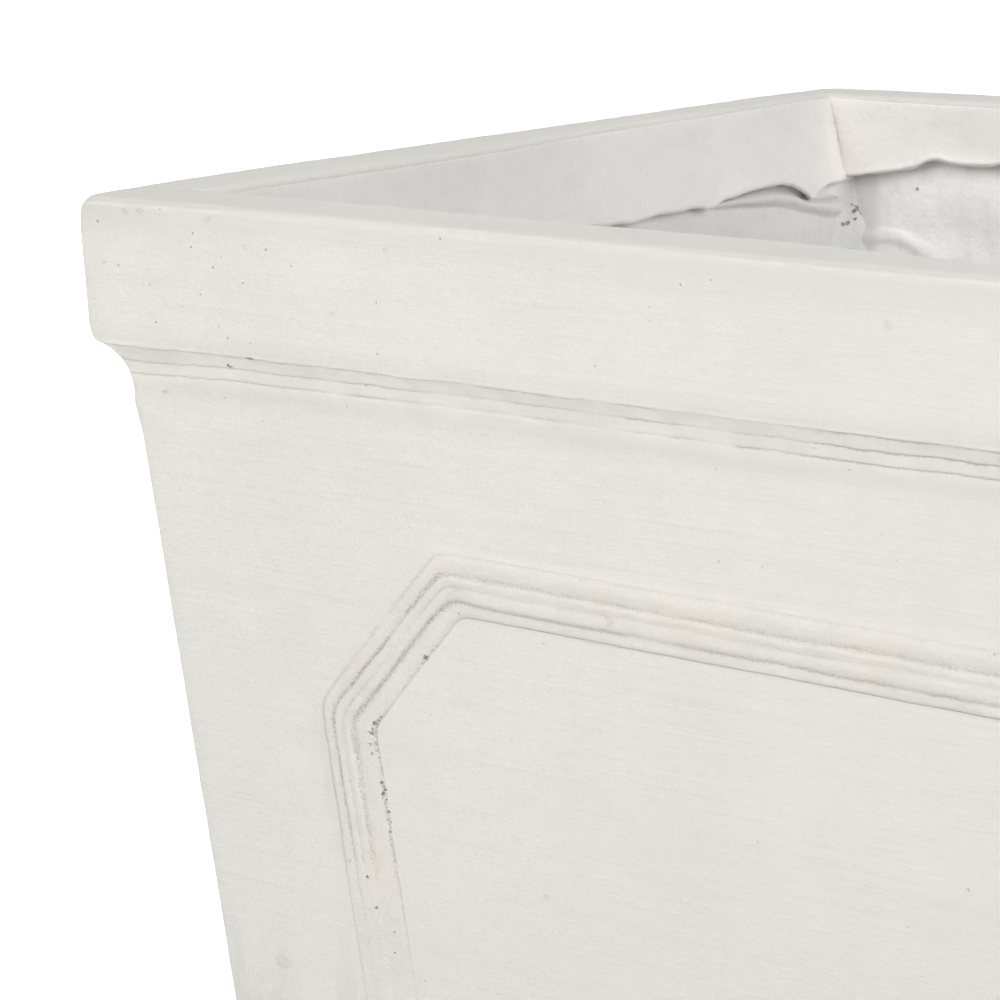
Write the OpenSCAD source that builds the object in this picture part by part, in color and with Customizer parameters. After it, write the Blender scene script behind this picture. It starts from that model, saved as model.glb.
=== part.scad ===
// Square tapered planter in cast stone, laid up by hand in a mould.
// Origin: centre of the underside. +Z up, the front face looks along -Y. Millimetres.

/* [Overall] */
// Height from the underside to the rim's top face
planter_h = 480; // [400:5:600]
// Side of the square rim at its top face
rim_w = 500; // [440:5:600]
// Side of the square underside
base_w = 395; // [340:5:430]
// Rounding of the outer upright corners
corner_r = 4.5; // [2:0.5:8]
// Rounding where the walls meet the underside
base_arris_r = 3; // [1:0.5:6]

/* [Rim band] */
// Width of the rim's flat top face
rim_top_w = 30; // [26:1:40]
// Height of the rim's outer band
rim_band_h = 51.5; // [42:0.5:70]
// Draft of the band: how far each millimetre down leans inward
rim_draft = 0.043; // [0:0.001:0.08]
// How far the body's face, carried up to the rim's top, lies behind the band
body_set_back = 6.1; // [3:0.1:10]
// Rounding of the band's outer top edge
rim_outer_r = 4; // [2:0.5:4.5]
// Rounding of the rim's inner top edge
rim_inner_r = 3; // [1:0.5:4]
// How far the band's lower edge rolls inward
lip_in = 2.6; // [1.5:0.1:4]
// Height over which the lower edge rolls inward
lip_h = 11; // [5:0.5:16]

/* [Cove] */
// Height of the cove, from the band's lip down to the body's face
cove_h = 17; // [12:0.5:24]
// How far the cove runs inward before it turns down
cove_turn_in = 6.5; // [4:0.1:8]
// How far below the lip the cove turns down
cove_turn_h = 4.5; // [2.5:0.1:8]
// Width of the three tooled lines along the cove
cove_line_w = 1; // [0.6:0.1:1.6]
// Depth of the tooled lines
cove_line_d = 0.7; // [0.3:0.1:1.2]

/* [Panel moulding] */
// Wall left bare between the cove and the panel
panel_top_gap = 43; // [28:1:70]
// Wall left bare between the panel and the underside
panel_base_gap = 52; // [35:1:80]
// Wall left bare between the body's corner and the panel
panel_side_gap = 63; // [50:1:75]
// Length that each cut corner takes off the panel's sides
panel_cut = 57; // [40:1:70]
// Width of the moulding's outer bead
outer_bead_w = 6.1; // [4:0.1:8]
// Width of the narrow fillet behind the outer bead
fillet_band_w = 3.9; // [2.5:0.1:6]
// Width of the main band
main_band_w = 6.3; // [4:0.1:9]
// Width of the inner bead
inner_bead_w = 3.5; // [2.5:0.1:5]
// Height of the outer bead above the wall
outer_bead_h = 2.6; // [1.5:0.1:4]
// Height of the main band above the wall
main_band_h = 3.5; // [2:0.1:5]
// Height of the inner bead above the wall
inner_bead_h = 2; // [1:0.1:3]
// Height of the grooves' bottoms above the wall
panel_groove_h = 0.7; // [0.2:0.1:0.9]

/* [Lay-up] */
// Thickness of the face coat that was cast against the mould
face_t = 5; // [4:0.5:6]
// Thickness of the glass-fibre mats
mat_t = 1; // [0.6:0.1:1.5]
// Thickness of the fibre-reinforced walls behind the mats
wall_t = 7; // [5:0.5:8.5]
// Thickness of the floor slab
slab_t = 12; // [8:1:20]
// Radius of the paste worked into the inner corners
fillet_r = 18; // [10:1:26]

/* [Rim lining] */
// Mean depth of the linings' torn lower edge below the rim's top
lining_depth = 37; // [30:1:44]
// How far the torn edge wanders up and down
tear_depth = 3; // [0:0.5:4]
// Rounding of the torn lip
lining_lip = 2; // [1:0.5:3]
// Number of stations along a lining at which its edge is set
tear_steps = 36; // [16:4:48]

/* [Drain] */
// Diameter of the drain hole
drain_d = 26; // [18:1:36]
// Clearance all round the plug, and under its flange
plug_clearance = 0.3; // [0.2:0.05:0.6]
// How far the plug's flange reaches past the hole
plug_flange_w = 7; // [4:0.5:12]
// Thickness of the plug's flange at its edge
plug_flange_t = 2.4; // [1.6:0.2:4]
// Thickness of the rubber above the plug's hollow
plug_roof_t = 5; // [3:0.5:6]
// Wall of the plug round its hollow
plug_wall = 3; // [2:0.25:5]
// How far the plug's end stays above the underside
plug_end_gap = 2; // [1:0.5:4]
// Diameter of the plug's pull knob
knob_d = 14; // [10:1:18]
// Height of the pull knob above the flange
knob_h = 10; // [8:1:14]

/* [Hidden] */

STONE = "#e6e2db";
BACKING = "#d3d2cc";
GLASS_MAT = "#c9d2c4";
RUBBER = "#2b2b2d";

CORNER_STEPS = 4;   // facets of each upright outer corner
COVE_STEPS = 4;     // facets of each band between two tooled lines
COVE_LINES = [0.36, 0.63];   // places of the lower two lines along the cove's curve
ARC_STEP = 22.5;    // degrees between the points of a rounded edge
FACES = 64;         // sides of the drain hole and the plug
OVERRUN = 1;        // how far a cut runs past what it cuts

// The body's face leans outward by this much for each millimetre up.
lean = (rim_w / 2 - body_set_back - base_w / 2) / planter_h;
lean_angle = atan(lean);

// Half widths at height z of the body's face and of each layer's inner side.
function body_half(z) = base_w / 2 + lean * z;
function coat_half(z) = body_half(z) - face_t;
function mat_half(z) = coat_half(z) - mat_t;
function wall_half(z) = mat_half(z) - wall_t;

mouth_half = rim_w / 2 - rim_top_w;
flange_z = planter_h - face_t;        // underside of the rim's turned-in top
mat_top_z = face_t + mat_t;           // top of the floor mat
slab_top_z = mat_top_z + slab_t;      // the floor inside the planter

// A point of the rim's section: inset from the rim's side, depth below its top.
function rim_pt(inset, depth) = [rim_w / 2 - inset, planter_h - depth];
function band_inset(depth) = rim_draft * depth;
function body_inset(depth) = rim_w / 2 - body_half(planter_h - depth);

// A quarter of an ellipse between two section points, which leaves the first
// one straight down and reaches the second one level.
function roll_in(a, b) = [
  for (t = [0 : ARC_STEP : 90])
    [a.x + (b.x - a.x) * (1 - cos(t)), a.y + (b.y - a.y) * sin(t)]
];

lip_top = [band_inset(rim_band_h - lip_h), rim_band_h - lip_h];
lip_end = lip_top + [lip_in, lip_h];
cove_foot = lip_end.y + cove_h;
body_top = [body_inset(cove_foot), cove_foot];

// The cove runs from the lip to the body's face in a curve drawn toward cove_turn:
// its point at t, from 0 to 1, and its direction there.
cove_turn = lip_end + [cove_turn_in, cove_turn_h];
function cove_at(t) =
  (1 - t) * (1 - t) * lip_end + 2 * t * (1 - t) * cove_turn + t * t * body_top;
function cove_run(t) =
  let (d = (1 - t) * (cove_turn - lip_end) + t * (body_top - cove_turn)) d / norm(d);

// A tooled line across the curve at t: a notch cut square to it.
function cove_notch(t) =
  let (d = cove_run(t), half = cove_line_w / 2)
    [
      cove_at(t) - half * d,
      cove_at(t) + cove_line_d * [d.y, -d.x],
      cove_at(t) + half * d
    ];
function cove_band(from, to) = [
  for (k = [1 : COVE_STEPS - 1]) cove_at(from + (to - from) * k / COVE_STEPS)
];

top_arris = [
  for (t = [0 : ARC_STEP : 90])
    [rim_outer_r * (1 - sin(t)) + band_inset(rim_outer_r) * sin(t), rim_outer_r * (1 - cos(t))]
];
lip_notch = lip_end + [cove_line_w / 2, -cove_line_d];
cove = concat(
  roll_in(lip_top, lip_end),
  [lip_notch, lip_end + cove_line_w * cove_run(0)],
  cove_band(0, COVE_LINES[0]),
  cove_notch(COVE_LINES[0]),
  cove_band(COVE_LINES[0], COVE_LINES[1]),
  cove_notch(COVE_LINES[1]),
  cove_band(COVE_LINES[1], 1),
  [body_top]
);
base_arris = [
  for (t = [0 : ARC_STEP : 90])
    [body_half(base_arris_r) - base_arris_r * (1 - cos(t)), base_arris_r * (1 - sin(t))]
];
outside = concat([for (p = concat(top_arris, cove)) rim_pt(p.x, p.y)], base_arris);

// The channel behind the rim band, which the rim cores fill.
core_top_half = rim_w / 2 - band_inset(face_t) - face_t;
core_turn_z = planter_h - (rim_band_h - face_t);
core_turn_half = rim_w / 2 - band_inset(planter_h - core_turn_z) - face_t;
core_foot_z = planter_h - (cove_foot - face_t);

inner_arris = [
  for (t = [0 : ARC_STEP : 90])
    [mouth_half + rim_inner_r * (1 - cos(t)), planter_h - rim_inner_r * (1 - sin(t))]
];
inside = concat(
  [
    [coat_half(face_t), face_t],
    [coat_half(mat_top_z), mat_top_z],
    [coat_half(core_foot_z), core_foot_z],
    [core_turn_half, core_turn_z],
    [core_top_half, flange_z],
    [mouth_half, flange_z]
  ],
  inner_arris,
  [[mouth_half + rim_inner_r, planter_h + OVERRUN]]
);

// ---- shared shapes ----

// A level square ring of half width h at height z, its corners rounded by r.
function ring(h, z, r) = [
  for (c = [0 : 3], k = [0 : CORNER_STEPS])
    let (a = 90 * (c + k / CORNER_STEPS), s = [sign(cos(90 * c + 45)), sign(sin(90 * c + 45))])
      [s.x * (h - r) + r * cos(a), s.y * (h - r) + r * sin(a), z]
];
function square_ring(h, z) = [[h, h, z], [-h, h, z], [-h, -h, z], [h, -h, z]];

// Faces of a skin over rings of n points each. A ring turns left when it is
// seen from the rings that follow it. A closed skin joins the last to the first.
function skin_faces(rings, n, closed = false) = [
  for (i = [0 : rings - (closed ? 1 : 2)], j = [0 : n - 1])
    let (a = i * n, b = (i + 1) % rings * n, k = (j + 1) % n)
      each [[a + j, b + j, b + k], [a + j, b + k, a + k]]
];
function flat(lists) = [for (l = lists) each l];

// A solid through rings listed from the bottom upward. Each end is closed by a
// fan about its ring's first point, which must see the rest of the ring.
module loft(rings) {
  n = len(rings[0]);
  last = (len(rings) - 1) * n;
  polyhedron(
    points = flat(rings),
    faces = concat(
      skin_faces(len(rings), n),
      [for (j = [1 : n - 2]) [0, j, j + 1]],
      [for (j = [1 : n - 2]) [last, last + j + 1, last + j]]
    ),
    convexity = 8
  );
}

// A bar along the front side whose ends are mitred at the corners. The section
// lists [distance from the planter's centre, height], turning left.
module mitred_bar(section) {
  loft([
    [for (p = section) [p.x, -p.x, p.y]],
    [for (p = section) [-p.x, -p.x, p.y]]
  ]);
}

// Side 0 is the front; 1, 2 and 3 are the right, the back and the left.
module on_side(i) {
  rotate([0, 0, 90 * i]) children();
}

// ---- panel moulding ----

// Corners of the panel's outer edge, in the face's own plane: x across, y up
// along the leaning face. The sides keep an even distance from the body's corners.
panel_low = panel_base_gap / cos(lean_angle);
panel_high = (planter_h - cove_foot - panel_top_gap) / cos(lean_angle);
function panel_half(y) = body_half(y * cos(lean_angle)) - panel_side_gap;
side_run = panel_cut * cos(lean_angle);
panel_right = [
  [panel_half(panel_low) - panel_cut, panel_low],
  [panel_half(panel_low + side_run), panel_low + side_run],
  [panel_half(panel_high - side_run), panel_high - side_run],
  [panel_half(panel_high) - panel_cut, panel_high]
];
panel_outline = concat(
  panel_right,
  [for (i = [3 : -1 : 0]) [-panel_right[i].x, panel_right[i].y]]
);

// The section of the moulding: distance inward from its outer edge, height.
groove_1 = outer_bead_w;
groove_2 = groove_1 + fillet_band_w;
groove_3 = groove_2 + main_band_w;
moulding_w = groove_3 + inner_bead_w;
function bead(from, to, height, low_a, low_b) = [
  for (t = [0 : 30 : 180])
    [
      (from + to) / 2 - (to - from) / 2 * cos(t),
      (t < 90 ? low_a : low_b) + (height - (t < 90 ? low_a : low_b)) * sin(t)
    ]
];
moulding_root = -face_t / 3;
GAP = 0.25;   // half width of a groove's bottom
moulding = concat(
  [[0, moulding_root]],
  bead(0, groove_1 - GAP, outer_bead_h, 0, panel_groove_h),
  bead(groove_1 + GAP, groove_2 - GAP, main_band_h - 0.4, panel_groove_h, main_band_h - 0.9),
  bead(groove_2 + GAP, groove_3 - GAP, main_band_h, main_band_h - 0.9, panel_groove_h),
  bead(groove_3 + GAP, moulding_w, inner_bead_h, panel_groove_h, 0),
  [[moulding_w, moulding_root]]
);

// The outline moved inward by d, with every corner mitred.
function inset_outline(pts, d) = [
  for (i = [0 : len(pts) - 1])
    let (
      a = pts[(i + len(pts) - 1) % len(pts)],
      b = pts[i],
      c = pts[(i + 1) % len(pts)],
      u = (b - a) / norm(b - a),
      v = (c - b) / norm(c - b),
      nu = [-u.y, u.x],
      nv = [-v.y, v.x]
    )
      b + d * (nu + nv) / (1 + nu * nv)
];

// A point of the face's plane, raised by h square to the face.
function on_face(p, h) =
  let (z = p.y * cos(lean_angle))
    [p.x, -body_half(z) - h * cos(lean_angle), z - h * sin(lean_angle)];

module panel_moulding() {
  polyhedron(
    points = [
      for (s = moulding, p = inset_outline(panel_outline, s.x))
        on_face(p, s.y)
    ],
    faces = skin_faces(len(moulding), len(panel_outline), closed = true),
    convexity = 8
  );
}

// ---- sub-parts ----

module drain_hole() {
  translate([0, 0, -OVERRUN])
    cylinder(d = drain_d, h = slab_top_z + 2 * OVERRUN, $fn = FACES);
}

// The skin cast against the mould: rim, cove, panels, walls and underside.
module face_coat() {
  color(STONE)
    difference() {
      union() {
        loft([for (i = [len(outside) - 1 : -1 : 0]) ring(outside[i].x, outside[i].y, corner_r)]);
        for (i = [0 : 3])
          on_side(i) panel_moulding();
      }
      loft([for (p = inside) square_ring(p.x, p.y)]);
      drain_hole();
    }
}

// Paste packed behind the rim band.
module rim_core(i) {
  color(BACKING)
    on_side(i)
      mitred_bar([
        [coat_half(core_foot_z), core_foot_z],
        [core_turn_half, core_turn_z],
        [core_top_half, flange_z],
        [coat_half(flange_z), flange_z]
      ]);
}

// Glass-fibre mat between the face coat and a wall.
module side_mat(i) {
  color(GLASS_MAT)
    on_side(i)
      mitred_bar([
        [mat_half(mat_top_z), mat_top_z],
        [coat_half(mat_top_z), mat_top_z],
        [coat_half(core_foot_z), core_foot_z],
        [coat_half(flange_z), flange_z],
        [mat_half(flange_z), flange_z]
      ]);
}

module mat_floor() {
  color(GLASS_MAT)
    difference() {
      loft([
        square_ring(coat_half(face_t), face_t),
        square_ring(coat_half(mat_top_z), mat_top_z)
      ]);
      drain_hole();
    }
}

// Fibre-reinforced wall pressed in behind the mat.
module wall(i) {
  color(BACKING)
    on_side(i)
      mitred_bar([
        [wall_half(mat_top_z), mat_top_z],
        [mat_half(mat_top_z), mat_top_z],
        [mat_half(flange_z), flange_z],
        [wall_half(flange_z), flange_z]
      ]);
}

module floor_slab() {
  color(BACKING)
    difference() {
      loft([
        square_ring(wall_half(mat_top_z), mat_top_z),
        square_ring(wall_half(slab_top_z), slab_top_z)
      ]);
      drain_hole();
    }
}

// Paste worked into an inner corner, from the floor to the linings.
module corner_fillet(i) {
  top_z = planter_h - lining_depth - tear_depth * 2;
  function section(z) = concat(
    [[wall_half(z), -wall_half(z), z]],
    [
      for (t = [90 : -ARC_STEP : 0])
        [
          wall_half(z) - fillet_r * (1 - sin(t)),
          -wall_half(z) + fillet_r * (1 - cos(t)),
          z
        ]
    ]
  );
  color(BACKING)
    on_side(i)
      loft([for (z = [slab_top_z, top_z]) section(z)]);
}

// Depth of the torn edge below the rim's top, at x along side i.
function tear(i, x) =
  lining_depth + tear_depth * (
    0.5 * sin(x * 1.9 + 77 * i) + 0.3 * sin(x * 4.7 + 151 * i) + 0.2 * sin(x * 9.1 + 43 * i)
  );

// Strip laid inside the rim, with the torn edge it was left with.
module rim_lining(i) {
  function section(f) =
    let (edge_z = planter_h - tear(i, f * mouth_half), lip_z = edge_z + lining_lip)
      [
        for (p = [
          [mouth_half, flange_z],
          [mouth_half, lip_z],
          [mouth_half + lining_lip * 0.3, edge_z + lining_lip * 0.3],
          [mouth_half + lining_lip, edge_z],
          [wall_half(lip_z), lip_z],
          [wall_half(flange_z), flange_z]
        ])
          [f * p.x, -p.x, p.y]
      ];
  color(STONE)
    on_side(i)
      loft([for (k = [0 : tear_steps]) section(1 - 2 * k / tear_steps)]);
}

// Rubber plug, pushed in from above and pulled out by its knob.
module drain_plug() {
  stem_r = drain_d / 2 - plug_clearance;
  flange_r = drain_d / 2 + plug_flange_w;
  seat_z = slab_top_z + plug_clearance;
  top_z = seat_z + plug_flange_t;
  roof_z = seat_z - plug_roof_t;
  knob_r = knob_d / 2;
  neck_r = knob_r * 0.6;
  color(RUBBER)
    rotate_extrude($fn = FACES)
      polygon(concat(
        [
          [0, roof_z],
          [stem_r - plug_wall - 1, roof_z],
          [stem_r - plug_wall, roof_z - 1],
          [stem_r - plug_wall, plug_end_gap],
          [stem_r - 1, plug_end_gap],
          [stem_r, plug_end_gap + 2],
          [stem_r, seat_z],
          [flange_r, seat_z],
          [flange_r, top_z],
          [neck_r + 1.5, top_z + 1],
          [neck_r, top_z + 2.5],
          [neck_r, top_z + knob_h * 0.5]
        ],
        [
          for (t = [-45 : ARC_STEP : 90])
            [knob_r * cos(t), top_z + knob_h * (0.72 + 0.28 * sin(t))]
        ]
      ));
}

face_coat();
rim_core(0);  // rim_core_front
rim_core(1);  // rim_core_right
rim_core(2);  // rim_core_back
rim_core(3);  // rim_core_left
side_mat(0);  // mat_front
side_mat(1);  // mat_right
side_mat(2);  // mat_back
side_mat(3);  // mat_left
mat_floor();
wall(0);  // wall_front
wall(1);  // wall_right
wall(2);  // wall_back
wall(3);  // wall_left
floor_slab();
corner_fillet(0);  // corner_fillet_front_right
corner_fillet(1);  // corner_fillet_back_right
corner_fillet(2);  // corner_fillet_back_left
corner_fillet(3);  // corner_fillet_front_left
rim_lining(0);  // rim_lining_front
rim_lining(1);  // rim_lining_right
rim_lining(2);  // rim_lining_back
rim_lining(3);  // rim_lining_left
drain_plug();
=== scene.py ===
"""The looks of a square, tapered planter in cast stone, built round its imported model."""

import itertools
from math import atan, cos, dist, pi, radians, sin, sqrt

import bpy
import numpy as np
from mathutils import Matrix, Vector


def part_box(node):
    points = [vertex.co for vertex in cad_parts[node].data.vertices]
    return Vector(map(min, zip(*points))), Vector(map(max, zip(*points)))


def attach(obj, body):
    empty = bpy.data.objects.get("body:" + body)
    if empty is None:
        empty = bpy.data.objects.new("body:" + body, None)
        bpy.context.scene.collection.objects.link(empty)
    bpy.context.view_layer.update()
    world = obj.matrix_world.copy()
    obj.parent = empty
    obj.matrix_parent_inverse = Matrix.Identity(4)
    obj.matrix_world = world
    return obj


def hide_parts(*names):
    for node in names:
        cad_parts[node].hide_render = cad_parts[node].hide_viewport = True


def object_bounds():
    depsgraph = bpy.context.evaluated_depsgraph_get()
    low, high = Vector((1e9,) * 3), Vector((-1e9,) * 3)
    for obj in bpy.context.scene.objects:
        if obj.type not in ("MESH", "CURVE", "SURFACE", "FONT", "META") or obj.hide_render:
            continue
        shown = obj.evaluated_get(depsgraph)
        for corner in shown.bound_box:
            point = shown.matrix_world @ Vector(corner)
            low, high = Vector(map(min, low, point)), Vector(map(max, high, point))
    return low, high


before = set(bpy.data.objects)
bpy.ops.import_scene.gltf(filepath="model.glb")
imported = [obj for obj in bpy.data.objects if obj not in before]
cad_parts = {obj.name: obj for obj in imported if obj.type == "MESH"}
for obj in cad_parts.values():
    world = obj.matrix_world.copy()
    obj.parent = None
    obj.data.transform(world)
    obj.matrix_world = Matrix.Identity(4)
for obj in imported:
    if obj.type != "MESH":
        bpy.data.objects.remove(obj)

CAD_BOX = [list(corner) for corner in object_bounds()]
MM = 0.001
SIDES = ("front", "right", "back", "left")
FRONT, RIGHT, BACK, LEFT = range(4)

# ---- sizes in millimetres, as in the part's source ----

PLANTER_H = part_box("face_coat")[1].z / MM
RIM_HALF = 250
BASE_HALF = 197.5
CORNER_R = 3.5
INNER_CORNER_R = 0.15
BASE_ARRIS_R = 3
RIM_TOP_W = 30
RIM_DRAFT = 0.043
SET_BACK = 6.1
RIM_OUTER_R = 4
LIP_TOP = 40  # depth at which the band's lower edge starts to roll inward
FACE_T = 5
MAT_T = 1
WALL_T = 7
SLAB_TOP = 18
FILLET_R = 18
DRAIN_R = 13
MOUTH_HALF = RIM_HALF - RIM_TOP_W
FLANGE_Z = PLANTER_H - FACE_T
MAT_TOP = FACE_T + MAT_T
LEAN = (RIM_HALF - SET_BACK - BASE_HALF) / PLANTER_H
LEAN_COS, LEAN_SIN = cos(atan(LEAN)), sin(atan(LEAN))
HIDDEN_R = 0.5  # corner radius of the surfaces that don't show
CORE_FOOT = 420  # height at which the coat's inside turns outward behind the rim band
# The coat's inside behind the band: [inset from the rim's side, height].
CORE_SPACE = ((7, 433), (6, FLANGE_Z))

# The rim band's lower edge and the cove under it: [inset from the rim's side, depth].
LIP_END = (4.32, 51)
COVE_PULL = (10.82, 55.5)
COVE_FOOT = 68
COVE_END = (RIM_HALF - BASE_HALF - LEAN * (PLANTER_H - COVE_FOOT), COVE_FOOT)
COVE_LINES = (50.9, 55.7, 60.2)  # depths of the three tooled lines
COVE_SAG = 1.1  # how far the lower two drop toward the upright corners
# How far the lines wander down along each side: [place, distance].
COVE_WANDER = ((-160, 0), (-75, -0.5), (0, 0), (45, 0.4), (140, 0.1), (200, 0))

# The rim's inner edge: width and depth of its worn rounding, and how far the
# linings lean back toward the top. The left one leans back most, and is thinner,
# near the back; the front one stands inward, and its rounding is narrower.
INNER_ROUND = (5.0, 2.4)
LEAN_FROM = 8  # inset at which the rim's top starts to lean with the linings
TILT_DEPTH = 36
LEFT_TILT = 10
LEFT_SINK = 2
FRONT_TILT = (-3.6, 7)
FRONT_SHOULDER = 2.5
CORNER_WEAR = 1.6  # how far the rim's upper corners are worn off
CORNER_DIP = 0.6  # how much lower the rim's top is near its corners
FOOT_SWELL = 1.1  # how far the cove's foot stands out near the upright corners
# How far down the rim's arris its painted shade reaches along each side, with the cream line under
# it: [place, depth].
ARRIS_SHADE_LINE = ((-250, 1.6), (-200, 1.7), (-180, 1.3), (-160, 0.3), (-60, 0.3), (-20, 0.7), (10, 1.4),
              (90, 1.5), (250, 1.0))

# The panel's outline.
PANEL_SIDE_GAP = 64.5
PANEL_LOW = 52
PANEL_HIGH = 368.5
PANEL_CUT = 57
LEG_WEAR = 0.78  # share of its height that is gone low on the front's left leg

# How steeply each side's top run slopes; the front's is higher at its left end.
PANEL_SLOPES = (-0.0167, 0.006, -0.008, 0.01)

# The moulding's beads on its level runs, its cut corners and its legs: how level
# the run is, where the beads meet, measured inward from the panel's outline, and
# the heights of those valleys and of the crowns between them.
SECTIONS = (
    (0.09, (-0.9, 3.8, 7.6, 11.4, 21.2), (0, 0.7, 1.45, 0.6, 0), (1.25, 1.8, 1.85, 0.95)),
    (0.67, (-0.5, 5.0, 8.9, 12.8, 19.9), (0, 0.7, 1.4, 0.6, 0), (1.25, 1.8, 1.9, 1.15)),
    (1.00, (-0.9, 6.1, 10.1, 15.8, 19.7), (0, 0.65, 1.35, 0.5, 0), (1.2, 1.75, 1.9, 0.75)),
)

# ---- mesh densities ----

ACROSS = 150  # columns along one side
UPRIGHT = 120  # stations down one side of the body's face
CUT_SHARE = 19  # stations that the panel's cut corners take from each side
CORNER_STEPS = 5  # columns round an upright corner
BEAD_ROWS = 9  # rows across each bead of the moulding
LINING_COLUMNS = 320  # columns along a lining
WALL_COLUMNS = 190  # columns along an inner wall

FAR = -50.0  # the bead number away from the moulding
FULLNESS = 0.7  # the power that makes a ridge's round section fuller


def body_half(z):
    return BASE_HALF + LEAN * z


def wall_half(z):
    return body_half(z) - FACE_T - MAT_T - WALL_T


# ---- noise and blending ----


def noise(points, cell, seed):
    """Values from -1 to 1 that vary smoothly over about cell millimetres."""
    size = 24
    lattice = np.random.default_rng(seed).uniform(-1, 1, (size, size, size))
    turn = np.array([[0.36, 0.48, -0.8], [-0.8, 0.6, 0.0], [0.48, 0.64, 0.6]])
    place = np.asarray(points, float) @ turn / cell + 500
    base = np.floor(place).astype(int)
    t = place - base
    t = t * t * (3 - 2 * t)
    total = np.zeros(place.shape[:-1])
    for corner in itertools.product((0, 1), repeat=3):
        weight = np.prod(np.where(corner, t, 1 - t), axis=-1)
        at = (base + corner) % size
        total += weight * lattice[at[..., 0], at[..., 1], at[..., 2]]
    return total


def layered_noise(points, cell, seed, layers=3):
    """Smooth noise with finer and fainter layers on top."""
    total = sum(0.5**k * noise(points, cell / 2**k, seed + k) for k in range(layers))
    return total / (2 - 0.5 ** (layers - 1))


def noise_along(places, side, cell, seed):
    """Smooth noise along one side, at places in millimetres."""
    places = np.asarray(places, float)
    points = np.stack([places, np.full_like(places, 300.0 * side), 0 * places], axis=-1)
    return noise(points, cell, seed)


def bell(value, middle, width):
    return np.exp(-(((np.asarray(value, float) - middle) / width) ** 2))


def step(value, low, high):
    """A smooth step from 0 at low to 1 at high."""
    t = np.clip((np.asarray(value, float) - low) / (high - low), 0, 1)
    return t * t * (3 - 2 * t)


def place_along(points):
    """The place of each point along its own side, which runs in the way of turned()."""
    x, y = points[:, 0], points[:, 1]
    return np.select([-y >= np.abs(x), x >= np.abs(y), y >= np.abs(x)], [x, y, -x], -y)


# ---- mesh building, in millimetres ----


def placed(name, data):
    """A new object in the scene."""
    made = bpy.data.objects.new(name, data)
    bpy.context.scene.collection.objects.link(made)
    return made


class Shell:
    """Blocks of vertices and faces that are welded into one closed mesh. The marks are
    named values at each vertex, given with what they are where a block says nothing."""

    def __init__(self, **marks):
        self.marks = marks
        self.points = []
        self.values = []
        self.faces = []
        self.count = 0

    def add_points(self, points, **values):
        """Adds points (n, 3) with a value or array for each named mark; returns their indices."""
        points = np.asarray(points, float).reshape(-1, 3)
        start = self.count
        self.count += len(points)
        self.points.append(points)
        values = [np.broadcast_to(values.get(m, v), len(points)) for m, v in self.marks.items()]
        self.values.append(np.stack(values, axis=1))
        return np.arange(start, self.count)

    def add_grid(self, grid, closed=True, **values):
        """Adds rows of points (rows, columns, 3), each closed to a ring if closed is true.
        Faces turn by rows and then by columns."""
        shape = grid.shape[:2]
        flat = {k: np.broadcast_to(v, shape).reshape(-1) for k, v in values.items()}
        index = self.add_points(grid, **flat).reshape(shape)
        if closed:
            index = np.concatenate([index, index[:, :1]], axis=1)
        corners = [index[:-1, :-1], index[1:, :-1], index[1:, 1:], index[:-1, 1:]]
        self.faces += np.stack(corners, axis=-1).reshape(-1, 4).tolist()
        return index

    def cap(self, index):
        """Closes the first and last rings of a grid, each with a fan about its middle."""
        for ring, turn in ((index[0, :-1], -1), (index[-1, :-1], 1)):
            points = np.concatenate(self.points)[ring]
            values = np.concatenate(self.values)[ring].mean(0)
            middle = self.add_points([points.mean(0)], **dict(zip(self.marks, values)))[0]
            self.faces += [[a, b, middle] for a, b in zip(ring, np.roll(ring, turn))]

    def build(self, name, shape):
        """The piece: welds the blocks and moves each vertex by shape(points, normals, marks)."""
        points, values = np.concatenate(self.points), np.concatenate(self.values)
        _, first, index = np.unique(
            np.round(points, 3), axis=0, return_index=True, return_inverse=True
        )
        index = index.reshape(-1)
        points = points[first]
        faces = [list(dict.fromkeys(index[f].tolist())) for f in self.faces]
        mesh = bpy.data.meshes.new(name)
        mesh.from_pydata((points * MM).tolist(), [], [f for f in faces if len(f) > 2])
        mesh.update()
        marks = dict(zip(self.marks, values[first].T))
        normals = np.zeros(points.size, np.float32)
        mesh.vertex_normals.foreach_get("vector", normals)
        points = shape(points, normals.reshape(-1, 3).astype(float), marks)
        mesh.vertices.foreach_set("co", (points * MM).astype(np.float32).reshape(-1))
        for mark, value in marks.items():
            layer = mesh.attributes.new(mark, "FLOAT", "POINT")
            layer.data.foreach_set("value", value.astype(np.float32))
        mesh.shade_smooth()
        mesh.update()
        return placed(name, mesh)


def turned(points, side):
    """Points of the front side, turned to side 0 to 3: front, right, back, left."""
    x, y, z = np.moveaxis(points, -1, 0)
    for _ in range(side):
        x, y = -y, x
    return np.stack([x, y, z], axis=-1)


def square_ring(half, z, corner_r=HIDDEN_R):
    """A level ring with rounded corners, from the front's left end and round by the right."""
    flat = half - corner_r
    side = [(f * flat, -half, z) for f in np.linspace(-1, 1, ACROSS + 1)[:-1]]
    for a in np.radians(np.linspace(-90, 0, CORNER_STEPS + 1)[:-1]):
        side.append((flat + corner_r * cos(a), corner_r * sin(a) - flat, z))
    return np.concatenate([turned(np.array(side), i) for i in range(4)])


def round_ring(radius, z):
    """A level circle with the same number of points as a square ring, in step with it."""
    share = 0.98  # of each quarter turn, which the side's columns take
    angles = []
    for i in range(4):
        angles += [90 * i - 90 + f for f in np.linspace(-45, 45, ACROSS + 1)[:-1] * share]
        for k in range(CORNER_STEPS):
            angles.append(90 * i - 45 + 90 * (1 - share) * (k / CORNER_STEPS - 0.5))
    a = np.radians(angles)
    return np.stack([radius * np.cos(a), radius * np.sin(a), np.full(len(a), z)], axis=1)


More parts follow.
